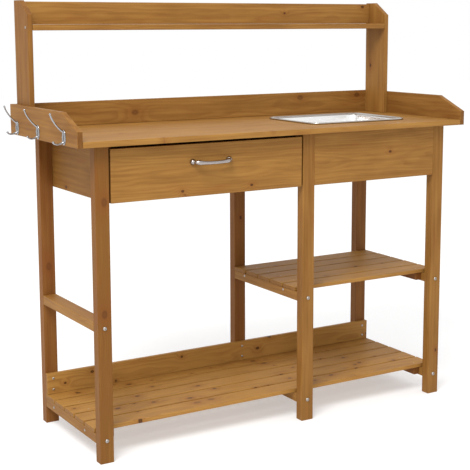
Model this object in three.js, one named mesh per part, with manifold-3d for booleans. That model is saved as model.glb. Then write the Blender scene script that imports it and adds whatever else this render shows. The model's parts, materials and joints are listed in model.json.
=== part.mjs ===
// Potting bench, in millimetres: X runs to the right, Y to the back and Z up from the floor.
// Pine boards are screwed to six legs. A drawer slides out of the left bay, and a steel basin
// drops into a cut-out in the worktop over the right bay.
import * as THREE from 'three';
import { mergeVertices } from 'three/addons/utils/BufferGeometryUtils.js';
import Module from 'manifold-3d';

// ---------------------------------------------------------------- driving dimensions
const seam = 0.3; // gap kept between two pieces that are screwed or laid together

// Legs
const legSpan = 1130; // between the outer faces of the outer legs
const frameDepth = 396; // from the front of the front legs to the back of the back legs
const legHeight = 822;
const legWidth = 38;
const legDepth = 28;
const centreLegX = 79.5; // middle of the centre legs, right of the bench's middle

// Rails, stretcher and the shelves they carry
const railHeight = 25.5;
const lowerRailZ = 49; // underside of the lower rails
const middleRailZ = 346;
const slatCount = 5;
const slatThickness = 11;
const slatFrontGap = 10.7; // from the front legs to the first slat
const slatGap = 6;
const slatProud = 1; // how far a slat's end stands past the leg's outer face
const battenWidth = 20;
const battenHeight = 22;
const battenInset = 14; // from the legs to the ends of a batten
const backBoardHeight = 60;
const backBoardThickness = 12;

// Aprons, divider and front panel
const boardThickness = 14;
const apronHeight = 146;

// Worktop, the boards around it and the hutch
const worktopThickness = 15;
const worktopOverhangFront = 27;
const worktopOverhangBack = 35.5;
const worktopOverhangSide = 41.5; // from the outer legs to the side boards' inner faces
const sideBoardHeight = 82.7;
const sideChamferLength = 100;
const sideChamferDrop = 42;
const splashThickness = 15;
const postDepth = 97;
const postHeight = 348;
const postChamferLength = 58;
const postChamferDrop = 38;
const hutchShelfThickness = 16;
const fasciaHeight = 61.5;
const fasciaDrop = 3; // from the top of the posts to the top of the fascia

// Drawer
const drawerSideGap = 5; // each side of the drawer front
const drawerTopGap = 8.5; // between the drawer front and the worktop
const drawerBoxGap = 4; // each side of the drawer box
const drawerSideHeight = 100;
const drawerSideRise = 16; // from the apron's lower edge to the drawer sides' lower edge
const drawerSideThickness = 12;
const drawerBackGap = 20; // behind the closed drawer
const drawerBottomThickness = 4;
const drawerBottomRise = 10; // from the drawer sides' lower edge to the bottom panel
const grooveDepth = 6;
const grooveClearance = 0.4;
const runnerWidth = 18;
const runnerHeight = 15;
const slideClearance = 0.5; // between the drawer sides and their runners
const runnerSetback = 2; // behind the closed drawer front

// Drawer handle
const handleSpacing = 110;
const handleReach = 27;
const handleRadius = 5;
const handleRise = 22; // above the middle of the drawer front
const handleFootRadius = 9;
const handleFootHeight = 4;

// Sink basin
const sinkForward = 3; // from the middle of the frame's depth to the middle of the basin
const sinkWidth = 340;
const sinkDepth = 260;
const sinkBowlDrop = 108; // from the flange to the underside of the bowl
const sinkFlange = 23;
const sinkRimCorner = 34;
const sinkBowlCorner = 30;
const sinkBowlTaper = 10; // how much each wall leans in towards the bottom
const sinkWall = 1.5;
const sinkRimRise = 4; // height of the rolled edge
const sinkRollWidth = 7;
const sinkCutClearance = 4; // between the bowl and the worktop's cut-out

// Hooks
const hookFrontInset = 82; // from the side board's front end to the first hook
const hookBackInset = 52.5; // from its back end to the last hook
const hookMiddleShift = 12; // how far the middle hook stands behind the midpoint of the other two
const hookRise = 20.7; // from the side board's lower edge to the middle of a hook plate
const hookPlateHeight = 38;
const hookPlateWidth = 22;
const hookPlateThickness = 2.5;
const hookRootInset = 7; // from the plate's top or bottom edge to the root of a prong
const hookWireRadius = 2;
const hookTipRadius = 3.2;
const hookUpperReach = 36;
const hookUpperRise = 59;
const hookLowerReach = 29;
const hookLowerDrop = 16;

// Bolts through the front legs into the ends of the rails
const boltHeadRadius = 5.3;
const boltHeadHeight = 3;
const boltRadius = 3;
const boltGrip = 38; // length of thread inside the rail
const boltHoleClearance = 0.3;
const boltRise = 11.5; // from a rail's underside to its bolt

// ---------------------------------------------------------------- worked-out places
const legOuterX = legSpan / 2;
const legInnerX = legOuterX - legWidth;
const centreLegLeft = centreLegX - legWidth / 2;
const centreLegRight = centreLegX + legWidth / 2;
const backLegY = frameDepth - legDepth;
const slatRunY = backLegY - seam - legDepth - slatFrontGap;
const slatWidth = (slatRunY - slatGap * (slatCount - 1)) / slatCount;
const apronZ = legHeight - apronHeight;
const apronInnerX = legInnerX - seam - boardThickness;
const apronBackY = backLegY - seam - boardThickness;
const dividerX = centreLegLeft - seam - boardThickness;
const worktopZ = legHeight + seam;
const worktopTop = worktopZ + worktopThickness;
const sideBoardX = legOuterX + worktopOverhangSide;
const worktopFront = -worktopOverhangFront;
const worktopBack = frameDepth + worktopOverhangBack;
const splashY = worktopBack - splashThickness;
const postBackY = splashY - seam;
const postX = sideBoardX - seam - boardThickness;
const fasciaZ = worktopTop + seam + postHeight - fasciaDrop - fasciaHeight;
const hutchShelfZ = fasciaZ - seam - hutchShelfThickness;
const drawerFrontLeft = -legInnerX + drawerSideGap;
const drawerFrontRight = centreLegLeft - drawerSideGap;
const drawerFrontX = (drawerFrontLeft + drawerFrontRight) / 2;
const drawerFrontTop = legHeight - drawerTopGap;
const drawerSideZ = apronZ + drawerSideRise;
const drawerBoxLeft = -apronInnerX + drawerBoxGap;
const drawerBoxRight = dividerX - drawerBoxGap;
const drawerBoxFront = boardThickness + seam;
const drawerBoxBack = apronBackY - drawerBackGap;
const drawerLength = drawerBoxBack - drawerBoxFront;
const drawerBottomZ = drawerSideZ + drawerBottomRise;
const drawerBottomInset = grooveDepth - grooveClearance;
const sinkX = (centreLegRight + legInnerX) / 2;
const sinkY = frameDepth / 2 - sinkForward;
const hookFrontY = worktopFront + hookFrontInset;
const hookBackY = worktopBack - hookBackInset;
const hookMiddleY = (hookFrontY + hookBackY) / 2 + hookMiddleShift;

// ---------------------------------------------------------------- materials
function pine(color) {
  return new THREE.MeshStandardMaterial({ color, roughness: 0.55, metalness: 0 });
}

function metal(color, roughness) {
  return new THREE.MeshStandardMaterial({ color, roughness, metalness: 1 });
}

const pineFrame = pine(0x9b6a38);
const pineBoard = pine(0xa87740);
const pineSlat = pine(0xa06c38);
const plywood = pine(0xc29a63);
const chrome = metal(0xc8c8cc, 0.18);
const zinc = metal(0xb4b6b8, 0.35);
const stainless = metal(0xd6d8da, 0.28);

// ---------------------------------------------------------------- helpers
const wasm = await Module();
wasm.setup();

function toSolid(geometry) {
  const bare = geometry.clone();
  bare.deleteAttribute('normal');
  bare.deleteAttribute('uv');
  const merged = mergeVertices(bare);
  const vertProperties = new Float32Array(merged.attributes.position.array);
  const triVerts = new Uint32Array(merged.index.array);
  return new wasm.Manifold(new wasm.Mesh({ numProp: 3, vertProperties, triVerts }));
}

function toGeometry(solid) {
  const { vertProperties, triVerts } = solid.getMesh();
  const geometry = new THREE.BufferGeometry();
  geometry.setAttribute('position', new THREE.BufferAttribute(vertProperties, 3));
  geometry.setIndex(new THREE.BufferAttribute(triVerts, 1));
  geometry.computeVertexNormals();
  return geometry;
}

function cut(geometry, tools) {
  const solid = tools.reduce((rest, tool) => rest.subtract(toSolid(tool)), toSolid(geometry));
  return toGeometry(solid);
}

function join(geometries) {
  const [first, ...others] = geometries.map(toSolid);
  return toGeometry(others.reduce((whole, other) => whole.add(other), first));
}

function addMesh(group, name, material, geometry) {
  const mesh = new THREE.Mesh(geometry, material);
  mesh.name = name;
  group.add(mesh);
  return mesh;
}

// A board with square edges between two opposite corners.
function addBoard(group, name, material, low, high) {
  const size = high.map((value, axis) => value - low[axis]);
  const board = addMesh(group, name, material, new THREE.BoxGeometry(...size));
  board.position.set(...low.map((value, axis) => value + size[axis] / 2));
  return board;
}

// An outline in the YZ plane made into a board of the given thickness along X.
function profileBoard(outline, thickness) {
  const shape = new THREE.Shape(outline.map(([y, z]) => new THREE.Vector2(y, z)));
  const geometry = new THREE.ExtrudeGeometry(shape, { depth: thickness, bevelEnabled: false });
  const yAxis = new THREE.Vector3(0, 1, 0);
  const zAxis = new THREE.Vector3(0, 0, 1);
  const xAxis = new THREE.Vector3(1, 0, 0);
  return geometry.applyMatrix4(new THREE.Matrix4().makeBasis(yAxis, zAxis, xAxis));
}

// A board on edge whose upper front corner is cut off at a slant.
function chamferedBoard(depth, height, chamferLength, chamferDrop, thickness) {
  const outline = [[0, 0], [depth, 0], [depth, height], [chamferLength, height],
    [0, height - chamferDrop]];
  return profileBoard(outline, thickness);
}

function roundedRectangle(shape, width, depth, corner) {
  const x = width / 2 - corner;
  const y = depth / 2 - corner;
  shape.absarc(x, y, corner, 0, Math.PI / 2);
  shape.absarc(-x, y, corner, Math.PI / 2, Math.PI);
  shape.absarc(-x, -y, corner, Math.PI, Math.PI * 1.5);
  shape.absarc(x, -y, corner, Math.PI * 1.5, Math.PI * 2);
  shape.closePath();
  return shape;
}

// A round wire bent along a smooth curve through the given points.
function bentWire(points, radius, sides, steps) {
  const section = new THREE.Shape().absarc(0, 0, radius, 0, Math.PI * 2);
  const extrudePath = new THREE.CatmullRomCurve3(points.map((point) => new THREE.Vector3(...point)));
  return new THREE.ExtrudeGeometry(section, { extrudePath, steps, curveSegments: sides });
}

// ---------------------------------------------------------------- pieces
const bench = new THREE.Group();

const legs = [
  { side: 'left', left: -legOuterX },
  { side: 'centre', left: centreLegLeft },
  { side: 'right', left: legInnerX },
];

// Rails run from a front leg to the leg behind it; each has one bolt through the front leg.
const rails = [
  { name: 'lower_rail_left', left: -legOuterX, z: lowerRailZ },
  { name: 'lower_rail_centre', left: centreLegLeft, z: lowerRailZ },
  { name: 'lower_rail_right', left: legInnerX, z: lowerRailZ },
  { name: 'stretcher_left', left: -legOuterX, z: middleRailZ },
  { name: 'middle_rail_centre', left: centreLegLeft, z: middleRailZ },
  { name: 'middle_rail_right', left: legInnerX, z: middleRailZ },
];

function boltHole(x, y, z) {
  const radius = boltRadius + boltHoleClearance;
  const hole = new THREE.CylinderGeometry(radius, radius, 2 * (boltGrip + boltHoleClearance), 12);
  return hole.translate(x, y, z);
}

function addLegs(group) {
  for (const { side, left } of legs) {
    const leg = new THREE.BoxGeometry(legWidth, legDepth, legHeight);
    const height = legHeight / 2;
    const holes = [lowerRailZ, middleRailZ].map((z) => boltHole(0, 0, z + boltRise - height));
    const front = addMesh(group, `leg_front_${side}`, pineFrame, cut(leg, holes));
    front.position.set(left + legWidth / 2, legDepth / 2, height);
    const back = addMesh(group, `leg_back_${side}`, pineFrame, leg);
    back.position.set(left + legWidth / 2, frameDepth - legDepth / 2, height);
  }
}

function addRails(group) {
  const length = frameDepth - 2 * (legDepth + seam);
  for (const { name, left, z } of rails) {
    const hole = boltHole(0, -length / 2 - seam, boltRise - railHeight / 2);
    const rail = cut(new THREE.BoxGeometry(legWidth, length, railHeight), [hole]);
    const mesh = addMesh(group, name, pineFrame, rail);
    mesh.position.set(left + legWidth / 2, frameDepth / 2, z + railHeight / 2);
  }
}

// A dome-headed bolt turned about Y, its head's underside at y = 0 and its shank towards +Y.
function boltGeometry() {
  const dome = new THREE.EllipseCurve(0, 0, boltHeadHeight, boltHeadRadius, Math.PI, Math.PI / 2, true);
  const head = dome.getPoints(4).map(({ x, y }) => new THREE.Vector2(Math.max(y, 0), x));
  head[0].x = 0;
  const length = legDepth + boltGrip;
  const shank = [[boltRadius, 0], [boltRadius, length], [0, length]];
  const profile = [...head, ...shank.map(([x, y]) => new THREE.Vector2(x, y))];
  return new THREE.LatheGeometry(profile, 16);
}

function addBolts(group) {
  for (const { name, left, z } of rails) {
    const bolt = addMesh(group, `bolt_${name}`, zinc, boltGeometry());
    bolt.position.set(left + legWidth / 2, -seam, z + boltRise);
  }
}

function addSlats(group, name, left, right, railZ) {
  const z = railZ + railHeight + seam;
  const pitch = slatWidth + slatGap;
  const firstY = legDepth + slatFrontGap;
  for (let i = 0; i < slatCount; i += 1) {
    const y = firstY + pitch * i;
    const low = [left - slatProud, y, z];
    const high = [right + slatProud, y + slatWidth, z + slatThickness];
    addBoard(group, `${name}_${i + 1}`, pineSlat, low, high);
  }
}

function addBatten(group, name, left, railZ) {
  const top = railZ + railHeight;
  const low = [left, legDepth + battenInset, top - battenHeight];
  const high = [left + battenWidth, backLegY - battenInset, top];
  addBoard(group, name, pineFrame, low, high);
}

function addShelves(group) {
  addSlats(group, 'lower_slat', -legOuterX, legOuterX, lowerRailZ);
  addSlats(group, 'middle_slat', centreLegLeft, legOuterX, middleRailZ);
  addBatten(group, 'batten_lower_left', -legInnerX + seam, lowerRailZ);
  addBatten(group, 'batten_lower_right', legInnerX - seam - battenWidth, lowerRailZ);
  addBatten(group, 'batten_middle_left', centreLegRight + seam, middleRailZ);
  addBatten(group, 'batten_middle_right', legInnerX - seam - battenWidth, middleRailZ);

  const z = lowerRailZ + railHeight + slatThickness + 2 * seam;
  const low = [-legOuterX, backLegY - seam - backBoardThickness, z];
  const high = [legOuterX, backLegY - seam, z + backBoardHeight];
  addBoard(group, 'lower_back_board', pineFrame, low, high);
}

function addCabinet(group) {
  const front = boardThickness + seam;
  const apronBack = backLegY + legDepth;
  addBoard(group, 'apron_left', pineBoard,
    [-legInnerX + seam, front, apronZ], [-apronInnerX, apronBack, legHeight]);
  addBoard(group, 'apron_right', pineBoard,
    [apronInnerX, front, apronZ], [legInnerX - seam, apronBack, legHeight]);
  addBoard(group, 'apron_back', pineBoard,
    [-apronInnerX + seam, apronBackY, apronZ], [apronInnerX - seam, backLegY - seam, legHeight]);
  addBoard(group, 'centre_divider', pineBoard,
    [dividerX, front, apronZ], [centreLegLeft - seam, apronBackY - seam, legHeight]);
  addBoard(group, 'front_panel', pineBoard,
    [centreLegRight + seam, 0, apronZ], [legInnerX - seam, boardThickness, legHeight]);
}

function addRunners(group) {
  const top = drawerSideZ - slideClearance;
  const front = boardThickness + runnerSetback;
  const back = apronBackY - seam;
  const left = -apronInnerX + seam;
  const right = dividerX - seam;
  addBoard(group, 'drawer_runner_left', pineFrame,
    [left, front, top - runnerHeight], [left + runnerWidth, back, top]);
  addBoard(group, 'drawer_runner_right', pineFrame,
    [right - runnerWidth, front, top - runnerHeight], [right, back, top]);
}

function addWorktop(group) {
  const halfWidth = sideBoardX - seam;
  const outline = new THREE.Shape([
    new THREE.Vector2(-halfWidth, worktopFront),
    new THREE.Vector2(halfWidth, worktopFront),
    new THREE.Vector2(halfWidth, worktopBack),
    new THREE.Vector2(-halfWidth, worktopBack),
  ]);
  const bowlInset = 2 * (sinkFlange - sinkCutClearance);
  const corner = sinkBowlCorner + sinkCutClearance;
  const hole = roundedRectangle(new THREE.Path(), sinkWidth - bowlInset, sinkDepth - bowlInset, corner);
  const holePoints = hole.getPoints(5).map(({ x, y }) => new THREE.Vector2(x + sinkX, y + sinkY));
  outline.holes.push(new THREE.Path(holePoints));
  const geometry = new THREE.ExtrudeGeometry(outline, { depth: worktopThickness, bevelEnabled: false });
  const worktop = addMesh(group, 'worktop', pineBoard, geometry);
  worktop.position.z = worktopZ;
}

function addSurround(group) {
  const depth = worktopBack - worktopFront;
  const board = chamferedBoard(depth, sideBoardHeight, sideChamferLength, sideChamferDrop, boardThickness);
  const left = addMesh(group, 'side_board_left', pineBoard, board);
  left.position.set(-sideBoardX - boardThickness, worktopFront, worktopZ);
  const right = addMesh(group, 'side_board_right', pineBoard, board);
  right.position.set(sideBoardX, worktopFront, worktopZ);
  addBoard(group, 'splash_board', pineBoard,
    [-sideBoardX + seam, splashY, worktopTop + seam],
    [sideBoardX - seam, worktopBack, worktopZ + sideBoardHeight]);
}

function addHutch(group) {
  const z = worktopTop + seam;
  const front = postBackY - postDepth;
  const board = chamferedBoard(postDepth, postHeight, postChamferLength, postChamferDrop, boardThickness);
  const left = addMesh(group, 'hutch_post_left', pineFrame, board);
  left.position.set(-postX - boardThickness, front, z);
  const right = addMesh(group, 'hutch_post_right', pineFrame, board);
  right.position.set(postX, front, z);
  const end = postX - seam;
  addBoard(group, 'hutch_shelf', pineBoard,
    [-end, front, hutchShelfZ], [end, postBackY, hutchShelfZ + hutchShelfThickness]);
  addBoard(group, 'hutch_fascia', pineBoard,
    [-end, postBackY - boardThickness, fasciaZ], [end, postBackY, fasciaZ + fasciaHeight]);
}

function drawerSide(left, grooveLeft) {
  const side = new THREE.BoxGeometry(drawerSideThickness, drawerLength, drawerSideHeight);
  const groove = new THREE.BoxGeometry(
    grooveDepth,
    drawerLength + 2 * seam,
    drawerBottomThickness + 2 * grooveClearance,
  );
  const sideX = left + drawerSideThickness / 2;
  const grooveZ = drawerBottomRise + drawerBottomThickness / 2 - drawerSideHeight / 2;
  groove.translate(grooveLeft + grooveDepth / 2 - sideX, 0, grooveZ);
  return cut(side, [groove]);
}

function handleGeometry() {
  const half = handleSpacing / 2;
  const reach = handleReach - handleRadius;
  const bar = bentWire([
    [-half, -handleFootHeight / 2, 0],
    [-half * 0.97, -reach * 0.45, 0],
    [-half * 0.72, -reach * 0.86, 0],
    [0, -reach, 0],
    [half * 0.72, -reach * 0.86, 0],
    [half * 0.97, -reach * 0.45, 0],
    [half, -handleFootHeight / 2, 0],
  ], handleRadius, 5, 22);
  const feet = [-half, half].map((x) => {
    const foot = new THREE.CylinderGeometry(handleFootRadius, handleFootRadius, handleFootHeight, 20);
    return foot.translate(x, -handleFootHeight / 2, 0);
  });
  return join([bar, ...feet]);
}

function addDrawer(group) {
  const sideMiddle = [drawerBoxFront + drawerLength / 2, drawerSideZ + drawerSideHeight / 2];
  const innerLeft = drawerBoxLeft + drawerSideThickness;
  const innerRight = drawerBoxRight - drawerSideThickness;
  addBoard(group, 'drawer_front', pineBoard,
    [drawerFrontLeft, 0, apronZ], [drawerFrontRight, boardThickness, drawerFrontTop]);
  const left = addMesh(group, 'drawer_side_left', plywood,
    drawerSide(drawerBoxLeft, innerLeft - grooveDepth));
  left.position.set(drawerBoxLeft + drawerSideThickness / 2, ...sideMiddle);
  const right = addMesh(group, 'drawer_side_right', plywood, drawerSide(innerRight, innerRight));
  right.position.set(drawerBoxRight - drawerSideThickness / 2, ...sideMiddle);
  addBoard(group, 'drawer_back', plywood,
    [innerLeft + seam, drawerBoxBack - drawerSideThickness, drawerBottomZ + drawerBottomThickness + seam],
    [innerRight - seam, drawerBoxBack, drawerSideZ + drawerSideHeight]);
  addBoard(group, 'drawer_bottom', plywood,
    [innerLeft - drawerBottomInset, drawerBoxFront, drawerBottomZ],
    [innerRight + drawerBottomInset, drawerBoxBack, drawerBottomZ + drawerBottomThickness]);
  const handle = addMesh(group, 'drawer_handle', chrome, handleGeometry());
  handle.position.set(drawerFrontX, -seam, (apronZ + drawerFrontTop) / 2 + handleRise);
}

// A lathe stretched to rounded rectangles: each ring has half sizes, a corner radius and a height.
function roundedTray(rings) {
  const segments = 24;
  const profile = rings.map(({ corner, z }) => new THREE.Vector2(corner, z));
  const geometry = new THREE.LatheGeometry(profile, segments, Math.PI / segments).rotateX(Math.PI / 2);
  const { position } = geometry.attributes;
  for (let i = 0; i < position.count; i += 1) {
    const { halfX, halfY, corner } = rings[i % rings.length];
    const x = position.getX(i);
    const y = position.getY(i);
    position.setX(i, x + Math.sign(x) * (halfX - corner));
    position.setY(i, y + Math.sign(y) * (halfY - corner));
  }
  return geometry;
}

// The basin's section, from the middle of its underside out over the rolled edge and back inside.
function addSink(group) {
  const ring = (inset, corner, z) => (
    { halfX: sinkWidth / 2 - inset, halfY: sinkDepth / 2 - inset, corner, z });
  const centre = (z) => ({ halfX: 0, halfY: 0, corner: 0, z });
  const floor = -sinkBowlDrop;
  const bottomInset = sinkFlange + sinkBowlTaper;
  const bottomCorner = sinkBowlCorner - sinkBowlTaper;
  const bowlRound = 6;
  const rollTop = sinkRimRise + sinkWall;
  const geometry = roundedTray([
    centre(floor),
    ring(bottomInset + bowlRound, bottomCorner - bowlRound, floor),
    ring(bottomInset, bottomCorner, floor + bowlRound),
    ring(sinkFlange, sinkBowlCorner, 0),
    ring(0, sinkRimCorner, 0),
    ring(0, sinkRimCorner, sinkRimRise),
    ring(sinkRollWidth * 0.35, sinkRimCorner - sinkRollWidth * 0.35, rollTop),
    ring(sinkRollWidth * 0.7, sinkRimCorner - sinkRollWidth * 0.7, sinkRimRise),
    ring(sinkRollWidth, sinkRimCorner - sinkRollWidth, sinkWall),
    ring(sinkFlange + sinkWall, sinkBowlCorner - sinkWall, sinkWall),
    ring(bottomInset + sinkWall, bottomCorner - sinkWall, floor + bowlRound + sinkWall),
    ring(bottomInset + bowlRound + sinkWall, bottomCorner - bowlRound - sinkWall, floor + sinkWall),
    centre(floor + sinkWall),
  ]);
  const basin = addMesh(group, 'sink_basin', stainless, geometry);
  basin.position.set(sinkX, sinkY, worktopTop + seam);
}

// A double hook on an oval plate, standing out towards -X from the plate's back at x = 0.
function hookGeometry() {
  const rootZ = hookPlateHeight / 2 - hookRootInset;
  const outline = new THREE.EllipseCurve(0, 0, hookPlateWidth / 2, hookPlateHeight / 2);
  const corners = outline.getPoints(24).slice(0, -1);
  const plate = profileBoard(corners.map(({ x, y }) => [x, y]), hookPlateThickness);
  plate.translate(-hookPlateThickness, 0, 0);
  const start = -hookPlateThickness / 2;
  const upperTip = [-hookUpperReach, 0, hookUpperRise];
  const lowerTip = [-hookLowerReach, 0, -hookLowerDrop + 6];
  const upper = bentWire([
    [start, 0, rootZ - 1],
    [-hookUpperReach * 0.33, 0, rootZ + (hookUpperRise - rootZ) * 0.2],
    [-hookUpperReach * 0.76, 0, rootZ + (hookUpperRise - rootZ) * 0.54],
    upperTip,
  ], hookWireRadius, 4, 9);
  const lower = bentWire([
    [start, 0, -rootZ],
    [-hookLowerReach * 0.36, 0, -hookLowerDrop],
    [-hookLowerReach * 0.75, 0, -hookLowerDrop + 0.5],
    lowerTip,
  ], hookWireRadius, 4, 7);
  const balls = [upperTip, lowerTip].map((tip) => (
    new THREE.SphereGeometry(hookTipRadius, 10, 8).translate(...tip)));
  return join([plate, upper, lower, ...balls]);
}

function addHooks(group) {
  [hookFrontY, hookMiddleY, hookBackY].forEach((y, i) => {
    const hook = addMesh(group, `hook_${i + 1}`, chrome, hookGeometry());
    hook.position.set(-sideBoardX - boardThickness - seam, y, worktopZ + hookRise);
  });
}

const sections = [addLegs, addRails, addBolts, addShelves, addCabinet, addRunners, addWorktop,
  addSurround, addHutch, addDrawer, addSink, addHooks];
for (const addSection of sections) {
  const section = new THREE.Group();
  addSection(section);
  bench.add(section);
}

// The origin is on the floor, under the middle of the whole bench.
const extent = new THREE.Box3().setFromObject(bench);
const middle = extent.getCenter(new THREE.Vector3());
bench.position.set(-middle.x, -middle.y, -extent.min.z);

export default bench;
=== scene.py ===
import json
import math

import bmesh
import bpy
import numpy as np
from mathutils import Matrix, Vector
from mathutils.geometry import convex_hull_2d


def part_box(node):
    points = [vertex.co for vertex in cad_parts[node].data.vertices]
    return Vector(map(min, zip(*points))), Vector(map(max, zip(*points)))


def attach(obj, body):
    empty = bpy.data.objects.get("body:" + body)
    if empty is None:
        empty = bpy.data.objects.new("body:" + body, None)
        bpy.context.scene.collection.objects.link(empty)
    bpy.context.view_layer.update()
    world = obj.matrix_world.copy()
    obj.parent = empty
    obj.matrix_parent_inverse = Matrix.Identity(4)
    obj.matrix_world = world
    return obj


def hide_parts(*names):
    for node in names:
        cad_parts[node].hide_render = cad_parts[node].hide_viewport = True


# %% [markdown]
# ## A pine potting bench
# The bench is some fifty boards, a steel basin and a little hardware. The frame that is
# loaded here already holds every piece at its true size and place, with square edges.
# This script gives each board the eased edges, grain and knots of oiled pine, and
# builds the finer metal pieces. Units are metres: X to the right, Y back, Z up.

# %% The frame
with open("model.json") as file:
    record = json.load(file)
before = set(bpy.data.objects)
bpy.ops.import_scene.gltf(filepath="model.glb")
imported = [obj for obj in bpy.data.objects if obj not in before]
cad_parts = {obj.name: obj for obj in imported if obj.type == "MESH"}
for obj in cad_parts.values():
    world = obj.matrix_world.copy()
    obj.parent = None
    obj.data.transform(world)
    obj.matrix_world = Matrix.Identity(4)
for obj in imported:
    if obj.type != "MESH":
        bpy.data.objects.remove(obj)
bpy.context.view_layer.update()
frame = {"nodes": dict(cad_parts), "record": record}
body_of_node = {node: body for body, nodes in frame["record"]["behaviour"]["bodies"].items()
                for node in nodes}
mm = 0.001
seam = 0.3 * mm  # the gap that the frame keeps between two pieces laid together

# %% [markdown]
# ### The camera
# It stands ahead and to the left, at the height of the hutch shelf, and looks slightly
# down. A small shift lowers the picture, so that the legs stay nearly upright.

# %% Camera
camera_place = (-1.696, -2.777, 1.119)
camera_down = 8.5  # degrees below level
camera_roll = 0.17
camera_turn = 31.17  # degrees from straight back towards the right
camera_data = bpy.data.cameras.new("camera")
camera_data.lens = 87.4
camera_data.shift_y = -0.085
camera = bpy.data.objects.new("camera", camera_data)
bpy.context.collection.objects.link(camera)
bpy.context.scene.camera = camera
camera.location = camera_place
camera.rotation_euler = [math.radians(angle) for angle in (90 - camera_down, camera_roll, -camera_turn)]
print("camera at", [round(value, 2) for value in camera.location])

# %% [markdown]
# ### Making a mesh from rings
# Almost every round piece here is a row of closed rings: the steps of a lathe, the
# sections of a bent wire, or the rounded rectangles of a basin. One helper joins
# neighbouring rings with four-sided faces and closes both ends, so a shape is only a
# formula for its rings, worked out as one array.


# %% Mesh helpers
def add_piece(name, vertices, faces, body, material):
    """Makes a smooth mesh at the origin with its faces outwards, and lets it ride on a body."""
    mesh = bpy.data.meshes.new(name)
    mesh.from_pydata(np.asarray(vertices, float).tolist(), [], faces)
    shell = bmesh.new()
    shell.from_mesh(mesh)
    bmesh.ops.recalc_face_normals(shell, faces=shell.faces)
    shell.to_mesh(mesh)
    shell.free()
    mesh.shade_smooth()
    piece = bpy.data.objects.new(name, mesh)
    bpy.context.collection.objects.link(piece)
    mesh.materials.append(material)
    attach(piece, body)
    return piece


def ring_faces(ring_count, point_count):
    """Quads between neighbouring rings, and one face over each end."""
    ring, point = np.meshgrid(np.arange(ring_count - 1), np.arange(point_count), indexing="ij")
    here = ring * point_count
    next_point = (point + 1) % point_count
    quads = np.stack([here + point, here + next_point,
                      here + point_count + next_point, here + point_count + point], axis=-1)
    last = (ring_count - 1) * point_count
    ends = [list(range(point_count)), list(range(last, last + point_count))]
    return quads.reshape(-1, 4).tolist() + ends


def add_rings(name, rings, body, material, sharp=35):
    """rings is an array of ring, point and xyz. Edges sharper than the given angle stay crisp."""
    ring_count, point_count = rings.shape[:2]
    piece = add_piece(name, rings.reshape(-1, 3), ring_faces(ring_count, point_count),
                      body, material)
    piece.data.set_sharp_from_angle(angle=math.radians(sharp))
    return piece


print("mesh helpers ready")

# %% [markdown]
# ### Node helpers
# A material is a tree of small sums. These helpers write one sum each, so that a pattern
# reads from top to bottom like a formula. Each input may be a number or the output of
# an earlier node.


# %% Sums as nodes
def set_input(tree, socket, given):
    """Links a socket to the input, or writes a number or a colour into it."""
    if isinstance(given, bpy.types.NodeSocket):
        tree.links.new(given, socket)
    elif socket.type == "RGBA":
        socket.default_value = (*given, 1.0)
    else:
        socket.default_value = given


def math_node(tree, operation, first, second=0.0, third=0.0):
    node = tree.nodes.new("ShaderNodeMath")
    node.operation = operation
    for socket, given in zip(node.inputs, (first, second, third)):
        set_input(tree, socket, given)
    return node.outputs[0]


def vector_node(tree, operation, first, second=(0, 0, 0)):
    node = tree.nodes.new("ShaderNodeVectorMath")
    node.operation = operation
    for socket, given in zip(node.inputs, (first, second)):
        set_input(tree, socket, given)
    return node.outputs["Value" if operation == "LENGTH" else "Vector"]


def noise_node(tree, place, scale, detail=2.0):
    """Noise from about -1 to 1. The scale is in waves per unit along each axis."""
    node = tree.nodes.new("ShaderNodeTexNoise")
    node.inputs["Scale"].default_value = 1.0
    node.inputs["Detail"].default_value = detail
    tree.links.new(vector_node(tree, "MULTIPLY", place, scale), node.inputs["Vector"])
    return math_node(tree, "MULTIPLY_ADD", node.outputs[0], 2.0, -1.0)


def step_node(tree, value, low, high):
    """A smooth step from 0 at low to 1 at high; low may be the larger one."""
    node = tree.nodes.new("ShaderNodeMapRange")
    node.interpolation_type = "SMOOTHSTEP"
    for socket, given in zip(node.inputs, (value, low, high)):
        set_input(tree, socket, given)
    return node.outputs[0]


def mix_node(tree, share, first, second):
    node = tree.nodes.new("ShaderNodeMix")
    node.data_type = "RGBA"
    for socket, given in zip((node.inputs[0], node.inputs[6], node.inputs[7]), (share, first, second)):
        set_input(tree, socket, given)
    return node.outputs[2]


def screen(painted_shade, green, blue):
    """Linear light from screen values of 0 to 255."""
    value = np.array([painted_shade, green, blue]) / 255
    return tuple(np.where(value <= 0.04045, value / 12.92, ((value + 0.055) / 1.055) ** 2.4).tolist())


def new_group(name, sockets):
    """An empty node group with the named inputs and outputs."""
    tree = bpy.data.node_groups.new(name, "ShaderNodeTree")
    for label, direction, kind in sockets:
        tree.interface.new_socket(label, in_out=direction, socket_type=f"NodeSocket{kind}")
    return tree, tree.nodes.new("NodeGroupInput").outputs, tree.nodes.new("NodeGroupOutput").inputs


print("node helpers ready")

# %% [markdown]
# ### A knot
# A knot is the stub of a branch: a small dark oval, a little longer along the grain.
# Around it the growth rings bulge and the wood is redder. The group gives both: how
# much a point is knot, and how much it is in the swell around one. The oval is the
# distance to the middle, with its length along the grain shortened and its outline made
# a little ragged. Its rim is darkest, and a large knot is paler than a small one. The
# swell falls off as a bell curve.

# %% Knot pattern
knot_length = 1.5  # a knot's length along the grain over its width


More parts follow.
